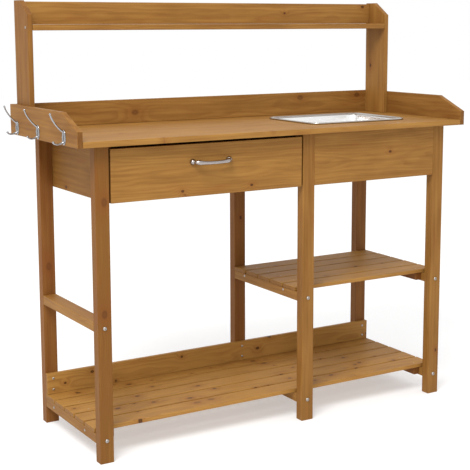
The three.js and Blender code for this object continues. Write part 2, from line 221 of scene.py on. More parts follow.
def make_knot_group():
    tree, given, result = new_group("pine_knot", (
        ("Offset", "INPUT", "Vector"), ("Radius", "INPUT", "Float"),
        ("Knot", "OUTPUT", "Float"), ("Swell", "OUTPUT", "Float")))
    oval = vector_node(tree, "MULTIPLY", given["Offset"], (1 / knot_length, 1.0, 0.0))
    ragged = math_node(tree, "MULTIPLY", noise_node(tree, given["Offset"], (0.25, 0.35, 0.1)), 1.1)
    distance = math_node(tree, "ADD", vector_node(tree, "LENGTH", oval), ragged)
    outer = math_node(tree, "MULTIPLY", given["Radius"], 1.2)
    inner = math_node(tree, "MULTIPLY", given["Radius"], 0.6)
    inside = step_node(tree, distance, outer, inner)
    middle = step_node(tree, distance, math_node(tree, "MULTIPLY", given["Radius"], 0.75), 0.0)
    rimmed = math_node(tree, "MULTIPLY", inside, math_node(tree, "MULTIPLY_ADD", middle, -0.35, 1.0))
    paler = math_node(tree, "MULTIPLY_ADD", given["Radius"], -0.2, 2.1)
    darkness = math_node(tree, "MINIMUM", paler, 1.0)
    tree.links.new(math_node(tree, "MULTIPLY", rimmed, darkness), result["Knot"])
    share = math_node(tree, "DIVIDE", distance, math_node(tree, "MULTIPLY", given["Radius"], 3.0))
    square = math_node(tree, "MULTIPLY", share, share)
    bell = math_node(tree, "EXPONENT", math_node(tree, "MULTIPLY", square, -1.0))
    tree.links.new(bell, result["Swell"])
    return tree


knot_group = make_knot_group()
print("knot pattern has", len(knot_group.nodes), "nodes")

# %% [markdown]
# ### Oiled pine
# The pattern is worked out in the board's own directions, in millimetres: u along the
# grain, v across the face and w through the thickness. Growth rings are distances from
# a pith line that runs some way behind the face, bent by slow noise that hardly changes
# along the grain. So a wide face shows long arches and a narrow one nearly straight
# lines. Late wood darkens each ring just before the next begins. Over the rings come
# fine fibres, broad streaks, and reddish blushes where the sap was.
# Boards that stand in shade under the bench also get painted shade, a darker red mix.

# %% Pine pattern
ring_spacing = 5.2
random_knot_cell = (150.0, 58.0, 400.0)  # at most one random knot in each cell of this size
deep_pine = screen(120, 79, 32)
light_pine = screen(165, 121, 60)
blushed_pine = screen(136, 70, 25)
# Painted shade: a darker red mixed into boards that stand in the shade under the bench.
painted_shade_pine = screen(104, 50, 17)
late_wood = screen(98, 50, 16)
pore_wood = screen(86, 46, 15)
swell_wood = screen(116, 57, 19)
knot_wood = screen(56, 28, 12)
end_wood = screen(84, 46, 18)


def random_knots(tree, place, density):
    """Knot and swell from the nearest point of a random lattice, kept where chance is under the density."""
    cells = vector_node(tree, "DIVIDE", place, random_knot_cell)
    nearest = tree.nodes.new("ShaderNodeTexVoronoi")
    nearest.inputs["Scale"].default_value = 1.0
    tree.links.new(cells, nearest.inputs["Vector"])
    chance = tree.nodes.new("ShaderNodeTexWhiteNoise")
    tree.links.new(nearest.outputs["Position"], chance.inputs["Vector"])
    present = math_node(tree, "LESS_THAN", chance.outputs["Value"], density)
    knot = tree.nodes.new("ShaderNodeGroup")
    knot.node_tree = knot_group
    offset = vector_node(tree, "SUBTRACT", cells, nearest.outputs["Position"])
    tree.links.new(vector_node(tree, "MULTIPLY", offset, random_knot_cell), knot.inputs["Offset"])
    share = math_node(tree, "DIVIDE", chance.outputs["Value"], density)
    tree.links.new(math_node(tree, "MULTIPLY_ADD", share, 2.8, 2.0), knot.inputs["Radius"])
    return [math_node(tree, "MULTIPLY", knot.outputs[name], present) for name in ("Knot", "Swell")]


def make_pine_group():
    tree, given, result = new_group("pine_grain", (
        ("Place", "INPUT", "Vector"), ("Seed", "INPUT", "Vector"), ("Pith", "INPUT", "Vector"),
        ("Knot", "INPUT", "Float"), ("Swell", "INPUT", "Float"), ("Density", "INPUT", "Float"),
        ("Tone", "INPUT", "Float"), ("Painted shade", "INPUT", "Float"), ("End grain", "INPUT", "Float"),
        ("Color", "OUTPUT", "Color"), ("Roughness", "OUTPUT", "Float"), ("Height", "OUTPUT", "Float")))
    drift = vector_node(tree, "ADD", given["Place"], given["Seed"])
    random_knot, random_swell = random_knots(tree, drift, given["Density"])
    knot = math_node(tree, "MAXIMUM", given["Knot"], random_knot)
    swell = math_node(tree, "MAXIMUM", given["Swell"], random_swell)

    # Rings: the distance from the pith, bent by slow and quick noise and swollen round knots.
    from_pith = vector_node(tree, "ADD", given["Place"], given["Pith"])
    flat = vector_node(tree, "LENGTH", vector_node(tree, "MULTIPLY", from_pith, (0.0, 1.0, 1.0)))
    slow = math_node(tree, "MULTIPLY", noise_node(tree, drift, (0.0032, 0.014, 0.014)), 15.0)
    quick = math_node(tree, "MULTIPLY", noise_node(tree, drift, (0.02, 0.1, 0.1)), 1.6)
    bent = math_node(tree, "ADD", math_node(tree, "ADD", flat, slow), quick)
    bent = math_node(tree, "MULTIPLY_ADD", swell, 9.0, bent)
    turns = math_node(tree, "FRACT", math_node(tree, "DIVIDE", bent, ring_spacing))
    late = math_node(tree, "MULTIPLY", step_node(tree, turns, 0.25, 0.85), step_node(tree, turns, 1.0, 0.88))
    strength = step_node(tree, noise_node(tree, drift, (0.004, 0.02, 0.02)), -0.5, 0.5)
    ringed = math_node(tree, "MULTIPLY", late, math_node(tree, "MULTIPLY_ADD", strength, 0.2, 0.1))

    fibre = noise_node(tree, drift, (0.03, 1.2, 1.2), 3.0)
    streak = noise_node(tree, drift, (0.004, 0.11, 0.11), 3.0)
    blotch = noise_node(tree, drift, (0.007, 0.022, 0.022))
    blush = step_node(tree, noise_node(tree, drift, (0.009, 0.05, 0.05), 3.0), 0.12, 0.6)

    tone = math_node(tree, "MULTIPLY_ADD", streak, 0.5, math_node(tree, "ADD", given["Tone"], 0.5))
    tone = math_node(tree, "MULTIPLY_ADD", blotch, 0.35, tone)
    clamped = math_node(tree, "MINIMUM", math_node(tree, "MAXIMUM", tone, 0.0), 1.0)
    color = mix_node(tree, clamped, deep_pine, light_pine)
    color = mix_node(tree, math_node(tree, "MULTIPLY", blush, 0.26), color, blushed_pine)
    # Painted shade: the Redness input mixes in a darker red where a board stands in shade.
    color = mix_node(tree, given["Painted shade"], color, painted_shade_pine)
    color = mix_node(tree, ringed, color, late_wood)
    pores = step_node(tree, fibre, 0.1, 0.8)
    color = mix_node(tree, math_node(tree, "MULTIPLY", pores, 0.22), color, pore_wood)
    color = mix_node(tree, math_node(tree, "MULTIPLY", swell, 0.34), color, swell_wood)
    color = mix_node(tree, math_node(tree, "MULTIPLY", knot, 0.92), color, knot_wood)
    color = mix_node(tree, math_node(tree, "MULTIPLY", given["End grain"], 0.45), color, end_wood)
    tree.links.new(color, result["Color"])

    rough = math_node(tree, "MULTIPLY_ADD", fibre, 0.08, 0.56)
    rough = math_node(tree, "MULTIPLY_ADD", late, -0.06, rough)
    tree.links.new(math_node(tree, "MULTIPLY_ADD", knot, -0.12, rough), result["Roughness"])
    height = math_node(tree, "MULTIPLY_ADD", late, 0.3, math_node(tree, "MULTIPLY", fibre, 0.35))
    tree.links.new(math_node(tree, "MULTIPLY_ADD", knot, 0.4, height), result["Height"])
    return tree


pine_group = make_pine_group()
print("pine pattern has", len(pine_group.nodes), "nodes")

# %% [markdown]
# ### One material for each board
# Each board turns and centres the pattern with its own Mapping, so that u runs along
# its longest side, and brings its own seed. Boards cut from near the pith show arches
# and those from further out show lines: the pith is placed beside or behind the board.
# A few boards have knots in known places, given along and across the board.


# %% Pine for a board
def board_axes(low, high):
    """Axis numbers of a board's grain, width and thickness: its longest, middle and shortest side."""
    through, across, along = np.argsort(np.array(high) - np.array(low), kind="stable").tolist()
    return along, across, through


def split_vector(tree, vector):
    node = tree.nodes.new("ShaderNodeSeparateXYZ")
    tree.links.new(vector, node.inputs[0])
    return node.outputs


def board_place(tree, low, high):
    """Millimetres from the board's middle, along the grain, across it and through the board."""
    order = board_axes(low, high)
    middle = (np.array(low) + np.array(high)) / 2
    place = tree.nodes.new("ShaderNodeMapping")
    place.inputs["Location"].default_value = tuple((-1000 * middle).tolist())
    place.inputs["Scale"].default_value = (1000, 1000, 1000)
    tree.links.new(tree.nodes.new("ShaderNodeTexCoord").outputs["Object"], place.inputs["Vector"])
    sides = split_vector(tree, place.outputs[0])
    turned = tree.nodes.new("ShaderNodeCombineXYZ")
    for socket, axis in zip(turned.inputs, order):
        tree.links.new(sides[axis], socket)
    return turned.outputs[0]


def placed_knots(tree, place, knots):
    """The strongest knot and swell of the given knots: (along, across, radius) in millimetres."""
    strongest = [0.0, 0.0]
    for along, across, radius in knots:
        knot = tree.nodes.new("ShaderNodeGroup")
        knot.node_tree = knot_group
        knot.inputs["Radius"].default_value = radius
        offset = vector_node(tree, "SUBTRACT", place, (along, across, 0.0))
        tree.links.new(offset, knot.inputs["Offset"])
        strongest = [math_node(tree, "MAXIMUM", held, output)
                     for held, output in zip(strongest, knot.outputs)]
    return strongest


def pine(name, low, high, seed, tone=0.0, painted_shade=0.0, density=0.2, pith=(12.0, 46.0), knots=()):
    """Oiled pine whose grain runs along the longest side of the box from low to high."""
    material = bpy.data.materials.new(f"pine_{name}")
    material.use_nodes = True
    tree = material.node_tree
    shader = tree.nodes["Principled BSDF"]
    chance = np.random.default_rng(seed)
    place = board_place(tree, low, high)
    grain = tree.nodes.new("ShaderNodeGroup")
    grain.node_tree = pine_group
    tree.links.new(place, grain.inputs["Place"])
    grain.inputs["Seed"].default_value = tuple((seed * 1370.0 + chance.uniform(-500, 500, 3)).tolist())
    side, behind = pith
    grain.inputs["Pith"].default_value = (0.0, side * chance.uniform(0.5, 1.5), behind)
    grain.inputs["Density"].default_value = density
    grain.inputs["Tone"].default_value = tone + chance.uniform(-0.08, 0.08)
    grain.inputs["Painted shade"].default_value = painted_shade
    for label, given in zip(("Knot", "Swell"), placed_knots(tree, place, knots)):
        set_input(tree, grain.inputs[label], given)

    # End grain drinks more oil, so faces square to the grain are darker.
    normal = split_vector(tree, tree.nodes.new("ShaderNodeNewGeometry").outputs["Normal"])
    ends = math_node(tree, "ABSOLUTE", normal[board_axes(low, high)[0]])
    tree.links.new(step_node(tree, ends, 0.75, 0.95), grain.inputs["End grain"])

    tree.links.new(grain.outputs["Color"], shader.inputs["Base Color"])
    tree.links.new(grain.outputs["Roughness"], shader.inputs["Roughness"])
    bump = tree.nodes.new("ShaderNodeBump")
    bump.inputs["Strength"].default_value = 0.4
    bump.inputs["Distance"].default_value = 0.4 * mm
    tree.links.new(grain.outputs["Height"], bump.inputs["Height"])
    tree.links.new(bump.outputs[0], shader.inputs["Normal"])
    shader.inputs["Specular IOR Level"].default_value = 0.14
    return material


print("pine is ready to cut")

# %% [markdown]
# ### Boards with eased edges
# A planed board is never sharp: its edges are rubbed down a millimetre or so, and that
# is what catches the light. Each board takes its outline from its node in the frame, as
# the hull of the node's corners seen along the thickness, is drawn out to its thickness,
# and gets a narrow rounded bevel.

# %% Cutting a board
ease = 1.2 * mm
stagger = 1.2 * mm  # slats are cut and laid by hand, so their ends don't quite line up


def node_corners(node):
    """The node's vertices as an array."""
    mesh = frame["nodes"][node].data
    corners = np.zeros(len(mesh.vertices) * 3)
    mesh.vertices.foreach_get("co", corners)
    return corners.reshape(-1, 3)


def bevel(piece):
    """Rounds the edges of a board without touching its flat faces."""
    modifier = piece.modifiers.new("eased_edges", "BEVEL")
    modifier.width = ease
    modifier.segments = 2
    modifier.limit_method = "ANGLE"
    modifier.angle_limit = math.radians(15)
    modifier.harden_normals = True
    return piece


def add_board(node, seed, slack=0.0, **look):
    """Stands in for a node with the same outline and thickness, eased edges and its own grain.

    The outline is carried along the thickness. Slack draws each end in by up to that length.
    """
    corners = node_corners(node)
    low, high = corners.min(axis=0), corners.max(axis=0)
    along, _, through = board_axes(low, high)
    ends = np.random.default_rng(seed + 500).uniform(0, slack, 2)
    corners[:, along] = np.clip(corners[:, along], low[along] + ends[0], high[along] - ends[1])
    plane = [axis for axis in range(3) if axis != through]
    flat = corners[:, plane]
    outline = flat[convex_hull_2d(flat.tolist())]
    count = len(outline)
    vertices = np.zeros((2, count, 3))
    vertices[:, :, plane] = outline
    vertices[0, :, through] = low[through]
    vertices[1, :, through] = high[through]
    piece = add_piece(f"{node}_board", vertices.reshape(-1, 3), ring_faces(2, count),
                      body_of_node[node], pine(node, low, high, seed, **look))
    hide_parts(node)
    return bevel(piece)


print("edges eased by", ease / mm, "mm")

# %% [markdown]
# ### Choosing the boards
# Legs and rails are cut from the outer log, so their grain runs in nearly straight
# lines. Slats come from cheaper stock with many small knots. The drawer front and the
# panel beside it are picked clean, with one or two knots near their lower edges.

# %% Board looks
straight = (70.0, 30.0)  # how far the pith lies beside and behind a board with straight grain
looks_by_kind = {
    "leg_front_left": {"tone": -0.5, "density": 0.1, "pith": straight},
    "leg_front": {"tone": -0.22, "density": 0.1, "pith": straight},
    # Back legs and battens stand in the shade under the bench: their redder mix is painted shade.
    "leg_back": {"tone": -0.28, "painted_shade": 0.4, "density": 0.1, "pith": straight},
    "lower_rail": {"tone": -0.15, "density": 0.15, "pith": straight},
    "middle_rail": {"tone": -0.15, "density": 0.15, "pith": straight},
    "stretcher": {"tone": 0.0, "density": 0.1, "pith": straight},
    "batten": {"tone": -0.3, "painted_shade": 0.4, "density": 0.15, "pith": straight},
    "lower_slat": {"tone": 0.46, "density": 0.5, "slack": stagger},
    "middle_slat": {"tone": 0.28, "density": 0.35, "slack": stagger},
    # The lower back board's light tone makes up for the shade of the slats and worktop: painted light.
    "lower_back_board": {"tone": 0.55, "density": 0.35},
    "apron": {"tone": -0.2, "density": 0.2},
    "centre_divider": {"tone": -0.2, "density": 0.2},
    "front_panel": {"tone": -0.12, "density": 0.05},
    "drawer_runner": {"tone": -0.2, "density": 0.1, "pith": straight},
    "splash_board": {"tone": 0.0, "density": 0.05},
    "side_board": {"tone": -0.2, "density": 0.05},
    "hutch_post_right": {"tone": 0.0, "density": 0.05, "pith": straight},
    "hutch_post": {"tone": -0.32, "density": 0.05, "pith": straight},
    "hutch_shelf": {"tone": -0.1, "density": 0.05},
    "hutch_fascia": {"tone": 0.06, "density": 0.05},
    "drawer_front": {"tone": -0.02, "density": 0.03},
    "drawer_side": {"tone": 0.25, "density": 0.05},
    "drawer_back": {"tone": 0.25, "density": 0.05},
    "drawer_bottom": {"tone": 0.3, "density": 0.0},
}

# Knots on single boards: along and across from the board's middle, and radius, in millimetres.
knots_by_board = {
    "drawer_front": [(-85, -53, 3.4), (126, -52, 3.4)],
    "front_panel": [(52, 6, 3.6)],
    "apron_left": [(70, -63, 4.5)],
    "leg_front_left": [(270, 5, 8.5), (-17, 0, 8.2)],
    "leg_back_left": [(41, 0, 8.5)],
    "leg_front_right": [(-277, 8, 3.5)],
    "leg_back_centre": [(123, 3, 4.0)],
    "hutch_post_right": [(-25, 23, 4.0)],
    "hutch_fascia": [(264, 1, 2.8)],
    "splash_board": [(-247, -4, 8.0), (334, 18, 8.0), (558, 20, 7.5)],
    "lower_back_board": [(-511, -4, 3.0), (-427, 16, 4.0), (-134, 14, 3.2), (136, 0, 4.5)],
    "lower_slat_1": [(-190, 13, 7.5), (-237, 8, 8.0), (225, 18, 5.5)],
    "lower_slat_2": [(-235, -14, 5.8), (-445, 12, 5.8), (372, 6, 5.0)],
    "lower_slat_3": [(-353, 11, 5.4), (-163, 2, 5.0), (363, 9, 5.0), (104, -34, 5.6)],
    "lower_slat_4": [(120, 24, 6.0), (-352, -75, 4.5)],
    "lower_slat_5": [(-483, -9, 5.4), (-326, -15, 6.0), (103, -7, 6.5)],
    "middle_slat_3": [(65, -27, 4.5)],
    "middle_slat_5": [(45, -45, 6.0)],
}

boards = []
for node in sorted(body_of_node):
    kind = next((kind for kind in looks_by_kind if node.startswith(kind)), None)
    if kind is not None:
        look = {"knots": knots_by_board.get(node, ())} | looks_by_kind[kind]
        boards.append(add_board(node, seed=11 + len(boards), **look))
print("made", len(boards), "boards")

# %% [markdown]
# ### The worktop
# It is a wide board with a hole for the basin. Both outlines get the same number of
# points, so that a strip of faces can join them: each point of the hole is pushed
# straight out from the middle of the hole to the board's edge, and the points that land
# nearest the board's corners move into them.


# %% Worktop
def to_rectangle(directions, centre, low, high):
    """Where rays from a centre meet a rectangle; the ray nearest each corner ends in that corner."""
    room = np.where(directions > 0, high - centre, centre - low)
    reach = (room / np.maximum(np.abs(directions), 1e-9)).min(axis=1)
    points = centre + directions * reach[:, None]
    corners = np.array([[x, y] for x in (low[0], high[0]) for y in (low[1], high[1])])
    away = (corners - centre) / np.linalg.norm(corners - centre, axis=1)[:, None]
    points[np.argmax(away @ directions.T, axis=1)] = corners
    return points


def add_worktop():
    """Four rings of points, top and bottom, hole and edge, joined in a loop of faces."""
    corners = node_corners("worktop")
    low, high = corners.min(axis=0), corners.max(axis=0)
    to_edge = np.minimum(corners[:, :2] - low[:2], high[:2] - corners[:, :2]).min(axis=1)
    hole = np.unique(corners[to_edge > mm][:, :2].round(6), axis=0)
    centre = hole.mean(axis=0)
    away = hole - centre
    order = np.argsort(np.arctan2(away[:, 1], away[:, 0]))
    hole, away = hole[order], away[order]
    outside = to_rectangle(away / np.linalg.norm(away, axis=1)[:, None], centre, low[:2], high[:2])
    count = len(hole)
    rings = np.zeros((4, count, 3))
    rings[[0, 3], :, :2] = hole
    rings[[1, 2], :, :2] = outside
    rings[:2, :, 2] = low[2]
    rings[2:, :, 2] = high[2]
    point = np.arange(count)
    after = (point + 1) % count
    hole_wall = np.stack([3 * count + point, 3 * count + after, after, point], axis=-1)
    faces = ring_faces(4, count)[:-2] + hole_wall.tolist()
    knots = [(-425, -64, 4.0), (-384, -226, 3.0), (-54, -222, 3.0)]
    material = pine("worktop", low, high, seed=5, tone=0.2, density=0.03, pith=(60.0, 60.0), knots=knots)
    piece = add_piece("worktop_board", rings.reshape(-1, 3), faces,
                      "bench", material)
    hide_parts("worktop")
    return bevel(piece)


worktop = add_worktop()
print("worktop has", len(worktop.data.polygons), "faces")

# %% [markdown]
# ### Metal finishes
# The hooks and the handle are plated and bright, the bolts and screws are duller zinc,
# and the basin is satin stainless steel. Each differs from the next by its roughness and
# by fine wandering scratches or brushing in the roughness and the surface.
# The plated and zinc colours are darkened as painted darker reflections.


# %% Metals
def metal(name, color, smooth, dull, scale, relief, tarnish=0.18):
    """Metal whose roughness wanders between two values, with noise of a scale in waves per millimetre."""
    material = bpy.data.materials.new(name)
    material.use_nodes = True
    tree = material.node_tree
    shader = tree.nodes["Principled BSDF"]
    shader.inputs["Metallic"].default_value = 1.0
    place = tree.nodes.new("ShaderNodeMapping")
    place.inputs["Scale"].default_value = (1000, 1000, 1000)
    tree.links.new(tree.nodes.new("ShaderNodeTexCoord").outputs["Object"], place.inputs["Vector"])
    wander = noise_node(tree, place.outputs[0], scale, 3.0)
    share = step_node(tree, wander, -0.6, 0.6)
    rough = math_node(tree, "MULTIPLY_ADD", share, dull - smooth, smooth)
    tree.links.new(rough, shader.inputs["Roughness"])
    tarnished = tuple((1 - tarnish) * part for part in color)
    tree.links.new(mix_node(tree, share, color, tarnished), shader.inputs["Base Color"])
    bump = tree.nodes.new("ShaderNodeBump")
    bump.inputs["Strength"].default_value = 0.25
    bump.inputs["Distance"].default_value = relief * mm
    tree.links.new(wander, bump.inputs["Height"])
    tree.links.new(bump.outputs[0], shader.inputs["Normal"])
    return material


# Painted darker reflections: the chrome, nickel and zinc colours are darkened so that the white studio they
# reflect looks dimmer.
chrome = metal("bright_chrome", (0.4, 0.4, 0.41), 0.1, 0.2, (0.4, 0.4, 0.4), 0.02)
satin_nickel = metal("satin_nickel", (0.42, 0.38, 0.36), 0.2, 0.3, (0.5, 0.5, 0.5), 0.02)
zinc = metal("zinc_plate", (0.46, 0.43, 0.4), 0.28, 0.45, (0.7, 0.7, 0.7), 0.03)
stainless = metal("satin_stainless", (0.94, 0.94, 0.93), 0.26, 0.3, (0.01, 0.5, 0.5), 0.0005, 0.03)
print("four metals")

# %% [markdown]
# ### The basin
# A drop-in basin is pressed from one sheet: a rolled edge, a flat flange, a rounded
# lip, walls that lean in a little and a soft turn into the floor. Its section is a row
# of arcs and lines, as inset from the outer edge and height. The underside is the same
# row moved square to the sheet by its thickness. Each point of the section then becomes
# a rounded rectangle. The flange's brushed metal is coloured darker than the bowl: a
# painted darker reflection.

# %% Basin sizes
sheet = 1.2 * mm
roll_radius = 2.6 * mm
flange_width = 23 * mm
lip_radius = 5 * mm
wall_lean = 10 * mm
turn_radius = 14 * mm
flange_rise = 2.2 * mm  # from the worktop's surface to the flat of the flange
outer_corner = 34 * mm
bowl_corner = 30 * mm
# A painted darker reflection for the flange's metal.
painted_flange_reflection = (0.54, 0.52, 0.49)


# %% Basin
def arc(centre, radius, start, end, steps):
    """Points of a circle as rows of inset and height, from one angle in degrees to another."""
    angle = np.radians(np.linspace(start, end, steps))
    return np.stack([centre[0] + radius * np.cos(angle), centre[1] + radius * np.sin(angle)], axis=-1)


def basin_section(seat, floor, half_depth):
    """From the middle of the basin's floor up to the rolled edge, and back underneath it."""
    flat = seat + flange_rise
    wall = flange_width + wall_lean
    upper = np.concatenate([
        arc((roll_radius, seat + roll_radius), roll_radius, 262, 30, 12),
        [[2.6 * roll_radius, flat], [flange_width - lip_radius - mm, flat]],
        arc((flange_width - lip_radius, flat - lip_radius), lip_radius, 80, 6, 7),
        arc((wall + turn_radius, floor + sheet + turn_radius), turn_radius, 186, 262, 8),
        [[wall + 1.6 * turn_radius, floor + sheet], [half_depth - 6 * mm, floor + sheet]]])
    slope = np.gradient(upper, axis=0)
    slope /= np.linalg.norm(slope, axis=1)[:, None]
    under = upper - sheet * np.stack([-slope[:, 1], slope[:, 0]], axis=-1)
    return np.concatenate([upper[::-1], under])


def rounded_rings(section, half_size, centre, steps=14):
    """Each row of the section as a rectangle with a quarter circle at each corner."""
    inset, height = section[:, 0, None], section[:, 1, None]
    corner = np.interp(inset, [0, flange_width, half_size[1]], [outer_corner, bowl_corner, 1 * mm])
    angle = (np.arange(4)[:, None] * math.pi / 2 + np.linspace(0, math.pi / 2, steps)).ravel()
    side_x = np.repeat([1, -1, -1, 1], steps)
    side_y = np.repeat([1, 1, -1, -1], steps)
    x = side_x * (half_size[0] - inset - corner) + corner * np.cos(angle)
    y = side_y * (half_size[1] - inset - corner) + corner * np.sin(angle)
    return np.stack([centre[0] + x, centre[1] + y, height + 0 * x], axis=-1)


def add_basin():
    low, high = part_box("sink_basin")
    centre = ((low.x + high.x) / 2, (low.y + high.y) / 2)
    half_size = ((high.x - low.x) / 2, (high.y - low.y) / 2)
    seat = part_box("worktop")[1].z + seam
    section = basin_section(seat, low.z, half_size[1])
    piece = add_rings("basin_shell", rounded_rings(section, half_size, centre), "sink",
                      stainless, sharp=50)
    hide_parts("sink_basin")
    return piece


def paint_flange_reflection(material, height):
    """Darker metal above the height, where the flange is, as a painted darker reflection; the bowl below it
    stays bright.
    """
    tree = material.node_tree
    socket = tree.nodes["Principled BSDF"].inputs["Base Color"]
    place = split_vector(tree, tree.nodes.new("ShaderNodeTexCoord").outputs["Object"])
    above = step_node(tree, place[2], height - mm, height + mm)
    tree.links.new(mix_node(tree, above, socket.links[0].from_socket, painted_flange_reflection), socket)


basin = add_basin()
# The flange gets a painted darker reflection.
paint_flange_reflection(stainless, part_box("worktop")[1].z)
print("basin has", len(basin.data.polygons), "faces")

# %% [markdown]
# ### Bent wire and bars
# A hook's prongs and the drawer handle are round bars that follow a curve in a plane. A
# ring of points is set square to the curve at every step, and its radius follows the
# length walked: thicker at a foot, slimmer along the bar, a ball at a tip. The curve
# itself is a smooth line through a few points, each span blended with cubic weights.


# %% Bars
def smooth_curve(points, steps):
    """Catmull-Rom: each span blends its end points and their neighbours with cubic weights."""
    points = np.asarray(points, float)
    padded = np.concatenate([[2 * points[0] - points[1]], points, [2 * points[-1] - points[-2]]])
    t = np.linspace(0, len(points) - 1, steps)
    span = np.minimum(t.astype(int), len(points) - 2)
    t = (t - span)[:, None]
    a, b, c, d = (padded[span + k] for k in range(4))
    square = 2 * a - 5 * b + 4 * c - d
    cube = 3 * b - a - 3 * c + d
    return 0.5 * (2 * b + (c - a) * t + square * t ** 2 + cube * t ** 3)


def bar_rings(path, radius, upright, point_count=16):
    """Circles square to a path; upright is a direction that the path never takes."""
    tangent = np.gradient(path, axis=0)
    tangent /= np.linalg.norm(tangent, axis=1)[:, None]
    side = np.cross(tangent, upright)
    side /= np.linalg.norm(side, axis=1)[:, None]
    other = np.cross(side, tangent)
    angle = np.linspace(0, 2 * math.pi, point_count, endpoint=False)[None, :, None]
    ring = np.cos(angle) * side[:, None] + np.sin(angle) * other[:, None]
    return path[:, None] + np.asarray(radius)[:, None, None] * ring


def walked(path):
    """The length from the start of a path to each of its points."""
    return np.concatenate([[0], np.cumsum(np.linalg.norm(np.diff(path, axis=0), axis=1))])


print("bars ready")

# %% [markdown]
# ### The drawer handle
# A cast bow pull: it stands on two domed feet, narrows behind them, flares, and is
# slimmest in the middle. The bow is a superellipse, fuller at its corners than an
# ellipse, and it sags a little.

# %% Handle
foot_radius = 8.4 * mm
foot_depth = 9 * mm
grip_radius = 4.7 * mm
bow_fullness = 2.5
bow_sag = 3 * mm
foot_inset = 9 * mm  # from the handle's end to the middle of its foot


def handle_radius(x, y, half_spacing):
    """A slim grip that flares near its ends, a narrow neck behind each flare, and a domed foot."""
    flare = 1.7 * mm * np.exp(-((np.abs(x) - 0.78 * half_spacing) / (10 * mm)) ** 2)
    neck = 1 - 0.28 * np.exp(-((np.abs(x) - 0.97 * half_spacing) / (3 * mm)) ** 2)
    foot = foot_radius * np.sqrt(np.clip(1 - (y / foot_depth) ** 2, 0, None))
    return np.maximum((grip_radius + flare) * neck, foot)


def add_handle():
    low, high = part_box("drawer_handle")
    middle_x, middle_z = (low.x + high.x) / 2, (low.z + high.z) / 2
    face = high.y
    half_spacing = (high.x - low.x) / 2 - foot_inset
    reach = face - low.y - grip_radius
    turn = np.linspace(0, math.pi, 121)
    x = -np.sign(np.cos(turn)) * half_spacing * np.abs(np.cos(turn)) ** (2 / bow_fullness)
    y = -reach * np.sin(turn) ** (2 / bow_fullness)
    sag = -bow_sag * np.sin(turn) ** 2
    path = np.stack([middle_x + x, face + y, middle_z + sag], axis=-1)
    rings = bar_rings(path, handle_radius(x, y, half_spacing), (0, 0, 1), 20)
    piece = add_rings("drawer_handle_bow", rings, "drawer", satin_nickel,
                      sharp=60)
    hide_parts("drawer_handle")
    return piece


handle = add_handle()
print("handle is", round(handle.dimensions.x / mm), "mm long")

# %% [markdown]
# ### Screws and bolts
# Every fastener is a small lathe turned about the direction it faces, given as rows of
# radius and height in millimetres. What makes it read as a fastener is the drive in its
# middle, so a row also says how far its circle is pinched into a cross or a hexagon.


# %% Fasteners
def drive_outline(angle, kind):
    """How far a drive's edge is from its middle: a four-armed cross or a hexagon."""
    if kind == "cross":
        return 0.32 + 0.68 * np.abs(np.cos(2 * angle)) ** 8
    return math.cos(math.pi / 6) / np.cos(angle % (math.pi / 3) - math.pi / 6)


def fastener_rings(place, facing, rows, kind, point_count=24):
    """Rings about the facing direction, from rows of radius, height and share of the drive's outline."""
    radius, height, share = np.array(rows).T[:, :, None]
    angle = np.linspace(0, 2 * math.pi, point_count, endpoint=False)
    radius = radius * (1 - share + share * drive_outline(angle, kind)) * mm
    axis = np.array(facing, float)
    side = np.cross(axis, (0.0, 0.6, 0.8) if abs(axis[0]) > 0.5 else (1.0, 0.0, 0.0))
    side /= np.linalg.norm(side)
    other = np.cross(axis, side)
    round_part = (radius * np.cos(angle))[..., None] * side + (radius * np.sin(angle))[..., None] * other
    return np.array(place) + round_part + (height * mm)[..., None] * axis


screw_rows = [(2.6, -0.5, 0), (3.5, 0.1, 0), (3.6, 0.4, 0), (3.2, 0.95, 0), (2.5, 1.3, 0),
              (2.1, 1.42, 0.6), (1.9, 1.42, 1), (1.5, 0.5, 1), (0.6, 0.3, 1)]
small_screw_rows = [(0.72 * radius, 0.8 * height, share) for radius, height, share in screw_rows]
brad_rows = [(0.9, -0.6, 0), (1.6, 0.05, 0), (1.6, 0.2, 0), (1.1, 0.32, 0), (0.5, 0.35, 0)]
bolt_rows = [(3.0, -66, 0), (3.0, -0.02, 0), (5.2, 0, 0), (5.3, 0.5, 0), (4.9, 1.4, 0), (4.1, 2.2, 0),
             (3.2, 2.75, 0), (2.7, 2.9, 0.5), (2.4, 2.9, 1), (2.3, 1.0, 1), (0.8, 0.9, 1)]


def add_fastener(name, body, place, facing, rows, kind="cross", material=zinc):
    return add_rings(name, fastener_rings(place, facing, rows, kind), body, material, sharp=30)


print("fasteners ready")

# %% [markdown]
# ### Where the bolts and screws go
# One bolt joins each end of a rail to its leg. Screws hold the rails to the battens, the
# back board to the legs, the hutch shelf to its posts, and a brad pins each slat at
# each end.

# %% Bolts
bolt_nodes = [node for node in sorted(body_of_node) if node.startswith("bolt_")]
front_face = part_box("leg_front_left")[0].y - seam
back_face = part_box("leg_back_left")[1].y + seam
back_bolt_rows = [(3.0, -0.2, 0)] + bolt_rows[2:]  # only the head, as the shank is inside the leg
for node in bolt_nodes:
    low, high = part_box(node)
    x, z = (low.x + high.x) / 2, (low.z + high.z) / 2
    front_bolt = add_fastener(f"{node}_front", "bench", (x, front_face, z), (0, -1, 0), bolt_rows, "hexagon")
    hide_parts(node)
    add_fastener(f"{node}_back", "bench", (x, back_face, z), (0, 1, 0), back_bolt_rows, "hexagon")
print("bolts on", len(bolt_nodes), "rails, front and back")

